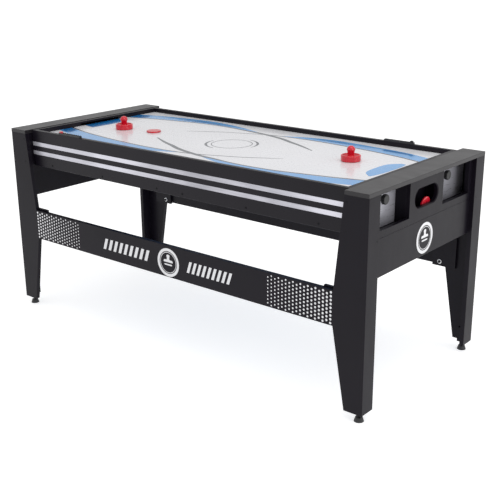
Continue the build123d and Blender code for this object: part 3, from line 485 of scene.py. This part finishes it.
def field_print(materials):
    """Sweeping bands and lines, the same from both players' ends."""
    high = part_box("hockey_field")[1]
    end, side = high.x - PRINT_MARGIN, high.y - PRINT_MARGIN
    place = frame_on("hockey_field", 1, "top")
    count = 0                  # layers so far

    def put(name, polygons, colour):
        nonlocal count
        count += 1
        lift = PRINT_STEP * count
        inside = [[(max(-end, min(end, u)), max(-side, min(side, v))) for u, v in p] for p in polygons]
        flat_piece(name, inside, lambda u, v: (u, v, place(u, v)[2] + lift), materials[colour], "field_box")

    # the line that leaves the middle, crosses the near side and runs out at the right end
    sweep = [
        (-0.334, -0.093), (-0.240, -0.142), (-0.170, -0.172), (-0.096, -0.206), (0.030, -0.240),
        (0.128, -0.252), (0.218, -0.264), (0.318, -0.268), (0.428, -0.261), (0.526, -0.243),
        (0.620, -0.224), (0.710, -0.202), (0.800, -0.176),
    ]
    sweep_inner = [
        (0.060, -0.250), (0.150, -0.262), (0.228, -0.268), (0.328, -0.272), (0.438, -0.266),
        (0.535, -0.248), (0.629, -0.230), (0.720, -0.205), (0.800, -0.180),
    ]
    sweep_edge = [
        (0.064, -0.254), (0.164, -0.288), (0.256, -0.310), (0.368, -0.325), (0.475, -0.321),
        (0.578, -0.311), (0.669, -0.294), (0.745, -0.275), (0.800, -0.255),
    ]
    # the thinner line that crosses it and runs out at the left end
    cross = [
        (0.334, -0.090), (0.262, -0.130), (0.187, -0.170), (0.090, -0.206), (0.020, -0.232),
        (-0.060, -0.246), (-0.160, -0.253), (-0.271, -0.252), (-0.364, -0.244), (-0.470, -0.233),
        (-0.585, -0.215), (-0.680, -0.196), (-0.800, -0.160),
    ]
    cross_inner = [
        (-0.060, -0.248), (-0.140, -0.256), (-0.250, -0.259), (-0.350, -0.252), (-0.460, -0.240),
        (-0.576, -0.222), (-0.680, -0.202), (-0.800, -0.166),
    ]
    cross_edge = [
        (-0.062, -0.251), (-0.136, -0.282), (-0.218, -0.304), (-0.310, -0.313), (-0.400, -0.309),
        (-0.510, -0.298), (-0.650, -0.280), (-0.800, -0.235),
    ]
    pale = strip_between(sweep_inner, sweep_edge) + strip_between(cross_inner, cross_edge)
    put("print_bands", both_halves(pale), "light_blue")
    put("print_cross", both_halves(ribbon(cross, [0.0010] + [0.0032] * 3 + [0.0045] * 9)), "ink_grey")
    put("print_sweep", both_halves(
        ribbon(sweep, [0.0030, 0.0070, 0.0090, 0.0100, 0.0090, 0.0070] + [0.0050] * 7)
    ), "ink_grey")
    # pools of colour and streaks at the two ends
    crease = [
        (-end, -0.090), (-0.731, -0.104), (-0.727, -0.040), (-0.726, 0.045), (-0.735, 0.085),
        (-end, 0.118),
    ]
    put("print_crease_left", [curve_through(crease[1:-1], 6) + [crease[-1], crease[0]]], "deep_blue")
    inner = [(0.735, -0.128), (0.701, -0.092), (0.689, -0.040), (0.692, 0.060), (0.729, 0.108)]
    outer = [(0.742, -0.127), (0.750, -0.090), (0.755, -0.040), (0.756, 0.050), (0.750, 0.104)]
    put("print_crease_right", strip_between(inner, outer), "light_blue")
    corner = [(-end, 0.196), (-0.734, 0.190), (-0.712, 0.221), (-0.735, 0.258), (-end, 0.248)]
    near = [(-end, -0.166), (-0.742, -0.187), (-0.714, -0.247), (-0.764, -0.239), (-end, -0.214)]
    put("print_corners", [corner, near], "deep_blue")
    put("print_streak_left", ribbon(
        [(-0.560, 0.266), (-0.523, 0.276), (-0.441, 0.289), (-0.349, 0.290), (-0.240, 0.280)],
        [0.001, 0.006, 0.008, 0.006, 0.001],
    ), "deep_blue")
    put("print_streak_right", ribbon(
        [(0.225, 0.282), (0.322, 0.286), (0.420, 0.276)], [0.001, 0.006, 0.001]
    ) + ribbon(
        [(0.548, 0.274), (0.560, 0.272), (0.640, 0.264), (0.700, 0.250)], [0.006, 0.010, 0.009, 0.003]
    ), "deep_blue")
    # a circle and two brackets in the middle
    emblem = ring(0.0, 0.0, *EMBLEM_RING)
    for facing in (EMBLEM_FACING, EMBLEM_FACING + 180.0):
        turns = [math.radians(facing + step * EMBLEM_STEP) for step in range(-3, 4)]
        arc = [(EMBLEM_R * math.cos(t), EMBLEM_R * math.sin(t)) for t in turns]
        emblem += ribbon(arc, [0.0010, 0.0028, 0.0045, 0.0052, 0.0045, 0.0028, 0.0010])
    put("print_centre", emblem, "ink_grey")


def dot_print(u_first, step, v_middle):
    """Staggered columns of dots that shrink towards the middle of the table."""
    dots = []
    for column in range(DOT_COLUMNS):
        u = u_first + step * column * DOT_PITCH_X
        share = column / (DOT_COLUMNS - 1)
        radius = DOT_R_BIG + (DOT_R_SMALL - DOT_R_BIG) * share
        rows = DOT_ROWS - column % 2
        for row in range(rows):
            dots += disc(u, v_middle + (row - (rows - 1) / 2) * DOT_PITCH_Z, radius, DOT_SIDES)
    return dots


def badge(u0, v0, radius):
    """A ring round a made-up sign: a mallet above its puck."""
    shapes = ring(u0, v0, radius * 0.80, radius)
    shapes += ring(u0, v0, radius * 0.70, radius * 0.74)
    shapes.append([(u0 + radius * x, v0 + radius * y) for x, y in (
        (-0.42, 0.02), (0.42, 0.02), (0.42, 0.12), (0.36, 0.18), (0.13, 0.20), (0.11, 0.34),
        (0.15, 0.44), (0.12, 0.53), (0.0, 0.57), (-0.12, 0.53), (-0.15, 0.44), (-0.11, 0.34),
        (-0.13, 0.20), (-0.36, 0.18), (-0.42, 0.12),
    )])
    shapes.append([(u0 + radius * x, v0 + radius * y) for x, y in (
        (-0.32, -0.10), (0.32, -0.10), (0.36, -0.15), (0.32, -0.20), (-0.32, -0.20), (-0.36, -0.15),
    )])
    return shapes


def slanted_bars(u_from, u_to, v_middle):
    """A row of leaning bars, where a name would stand."""
    bars = []
    pitch = (u_to - u_from) / BAR_COUNT
    width, lean = pitch * BAR_SHARE, BAR_H * BAR_LEAN
    bottom, top = v_middle - BAR_H / 2, v_middle + BAR_H / 2
    for k in range(BAR_COUNT):
        u = u_from + k * pitch
        bars.append([(u, bottom), (u + width, bottom), (u + width + lean, top), (u + lean, top)])
    return bars


def board_print(materials):
    """White print on both stretchers and a badge on both aprons."""
    for name, side in (("stretcher_front", -1), ("stretcher_back", 1)):
        low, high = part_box(name)
        place = frame_on(name, side, "y")
        middle = (low.z + high.z) / 2
        first = high.x - DOT_MARGIN
        shapes = dot_print(-first, 1, middle) + dot_print(first, -1, middle)
        shapes += badge(BADGE_U, middle - BADGE_DROP, BADGE_R)
        for u_from, u_to in BAR_SPANS:
            shapes += slanted_bars(u_from, u_to, middle)
        flat_piece("print_" + name, shapes, place, materials["ink_white"], "end_frame")
    for name, side in (("end_apron_left", -1), ("end_apron_right", 1)):
        low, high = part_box(name)
        place = frame_on(name, side, "x")
        shapes = badge(0.0, (low.z + high.z) / 2 - BADGE_DROP, BADGE_R)
        flat_piece("print_" + name, shapes, place, materials["ink_white"], "end_frame")


# ======================================================================
# CAD nodes and the film on them
# ======================================================================
def dress_cad(materials):
    """Each CAD node gets the material of its slot in the record."""
    slots = {s["node"]: s["material_slot"] for s in frame["record"]["subparts"]}
    for name, obj in NODES.items():
        obj.data.materials.clear()
        obj.data.materials.append(materials[slots[name]])
        shade_cad(obj)


def panel_film(materials):
    """Silver film on the outer face of each inner panel, behind the windows."""
    for end, side in (("left", -1), ("right", 1)):
        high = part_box("inner_panel_" + end)[1]
        place = frame_on("inner_panel_" + end, side, "x")
        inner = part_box("return_dividers")[1].y
        outer = high.y - FILM_INSET
        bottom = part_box("storage_shelf_" + end)[1].z + FILM_INSET
        top = high.z - FILM_INSET
        sheets = []
        for a, b in ((-outer, -inner), (inner, outer)):
            sheets.append([(a, bottom), (b, bottom), (b, top), (a, top)])
        piece = flat_piece("film_inner_panel_" + end, sheets, place, materials["silver_panel"], "end_frame")


# ======================================================================
# fabric on the pool side
# ======================================================================
def islands(bm):
    """The vertices of each separate solid in a mesh, in order along X and then Y."""
    left = set(bm.verts)
    found = []
    while left:
        reached = {left.pop()}
        waiting = list(reached)
        while waiting:
            vert = waiting.pop()
            fresh = {e.other_vert(vert) for e in vert.link_edges} - reached
            reached |= fresh
            waiting += fresh
        left -= reached
        found.append(reached)
    return sorted(found, key=lambda vs: (round(min(v.co.x for v in vs), 3), min(v.co.y for v in vs)))


def rounded_copy(name, node, index, radius):
    """One solid of a CAD node as a new mesh, its sharp edges rounded."""
    bm = bmesh.new()
    bm.from_mesh(NODES[node].data)
    bmesh.ops.remove_doubles(bm, verts=bm.verts, dist=WELD)
    kept = islands(bm)[index]
    bmesh.ops.delete(bm, geom=[v for v in bm.verts if v not in kept], context="VERTS")
    bmesh.ops.dissolve_limit(bm, angle_limit=FLAT_ANGLE, verts=bm.verts, edges=bm.edges)
    sharp = [e for e in bm.edges if e.calc_face_angle(0.0) > EDGE_ANGLE]
    bmesh.ops.bevel(bm, geom=sharp, offset=radius, segments=NOSE_STEPS, profile=0.5, affect="EDGES",
                    clamp_overlap=True)
    mesh = bpy.data.meshes.new(name)
    bm.to_mesh(mesh)
    bm.free()
    return mesh


def pool_fabric(materials):
    """The stretched bed cloth and the six covered cushions, each a piece of its own."""
    mesh = NODES["pool_cloth"].data.copy()
    mesh.materials.clear()
    cloth = link("bed_cloth", mesh, materials["cloth"], "field_box")
    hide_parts("pool_cloth")
    shade_cad(cloth)
    for k in range(CUSHIONS):
        name = "rail_cushion_" + str(k + 1)
        mesh = rounded_copy(name, "pool_cushions", k, NOSE_ROUND)
        cushion = link(name, mesh, materials["cushion"], "field_box")
        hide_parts("pool_cushions")
        shade_cad(cushion, 50.0)


# ======================================================================
# floor, light and camera
# ======================================================================
def make_stage():
    """A plain floor with a glow of its own, so that it stays pale to its edges."""
    reach = FLOOR_REACH
    corners = [(-reach, -reach, 0), (reach, -reach, 0), (reach, reach, 0), (-reach, reach, 0)]
    mesh = mesh_from("floor", corners, [[0, 1, 2, 3]])
    floor = bpy.data.objects.new("floor", mesh)
    bpy.context.scene.collection.objects.link(floor)
    paint = Paint("floor_white", (0.72, 0.72, 0.72), 0.8, specular=0.1)
    paint.shader.inputs["Emission Color"].default_value = (1.0, 1.0, 1.0, 1.0)
    paint.shader.inputs["Emission Strength"].default_value = FLOOR_GLOW
    floor.data.materials.append(paint.material)


def make_world():
    """A white backdrop that lights the table less than it shows."""
    world = bpy.data.worlds.new("studio")
    world.use_nodes = True
    tree = world.node_tree
    shown = tree.nodes["Background"]
    shown.inputs["Color"].default_value = (1.0, 1.0, 1.0, 1.0)
    shown.inputs["Strength"].default_value = 1.0
    lit = tree.nodes.new("ShaderNodeBackground")
    lit.inputs["Color"].default_value = (1.0, 1.0, 1.0, 1.0)
    lit.inputs["Strength"].default_value = WORLD_LIGHT
    path = tree.nodes.new("ShaderNodeLightPath")
    either = tree.nodes.new("ShaderNodeMixShader")
    tree.links.new(path.outputs["Is Camera Ray"], either.inputs["Fac"])
    tree.links.new(lit.outputs["Background"], either.inputs[1])
    tree.links.new(shown.outputs["Background"], either.inputs[2])
    tree.links.new(either.outputs["Shader"], tree.nodes["World Output"].inputs["Surface"])
    bpy.context.scene.world = world


def area_light(name, place, aim, size, watts):
    light = bpy.data.lights.new(name, "AREA")
    light.shape = "RECTANGLE"
    light.size, light.size_y = size
    light.energy = watts
    obj = bpy.data.objects.new(name, light)
    bpy.context.scene.collection.objects.link(obj)
    obj.location = Vector(place)
    obj.rotation_mode = "QUATERNION"
    obj.rotation_quaternion = (Vector(aim) - Vector(place)).to_track_quat("-Z", "Y")


def make_lights():
    area_light("key", (1.2, -0.6, 3.6), (0.0, 0.0, 0.7), (3.0, 2.4), 34.0)
    area_light("right_fill", (4.2, 0.2, 1.7), (0.9, 0.0, 0.5), (2.4, 2.2), 26.0)


def make_camera():
    azimuth, elevation = math.radians(CAM_AZIMUTH), math.radians(CAM_ELEVATION)
    back = Vector((
        math.sin(azimuth) * math.cos(elevation),
        -math.cos(azimuth) * math.cos(elevation),
        math.sin(elevation),
    ))
    data = bpy.data.cameras.new("camera")
    data.sensor_width = 36.0
    data.lens = CAM_LENS
    data.clip_end = 100.0
    camera = bpy.data.objects.new("camera", data)
    bpy.context.scene.collection.objects.link(camera)
    turn = (-back).to_track_quat("-Z", "Y").to_matrix().to_4x4()
    roll = Matrix.Rotation(math.radians(CAM_ROLL), 4, "Z")
    camera.matrix_world = Matrix.Translation(Vector(CAM_AIM) + back * CAM_DISTANCE) @ turn @ roll
    bpy.context.scene.camera = camera


def main():
    bpy.context.scene.view_settings.view_transform = "Standard"
    make_camera()
    make_stage()
    make_world()
    make_lights()
    materials = make_materials()
    materials["deep_blue"] = ink("ink_deep_blue", DEEP_BLUE)
    materials["light_blue"] = ink("ink_light_blue", LIGHT_BLUE)
    materials["ink_grey"] = ink("ink_grey", INK_GREY)
    materials["ink_white"] = ink("ink_white", INK_WHITE, 0.40, 0.0)
    dress_cad(materials)
    field_print(materials)
    board_print(materials)
    panel_film(materials)
    pool_fabric(materials)


main()
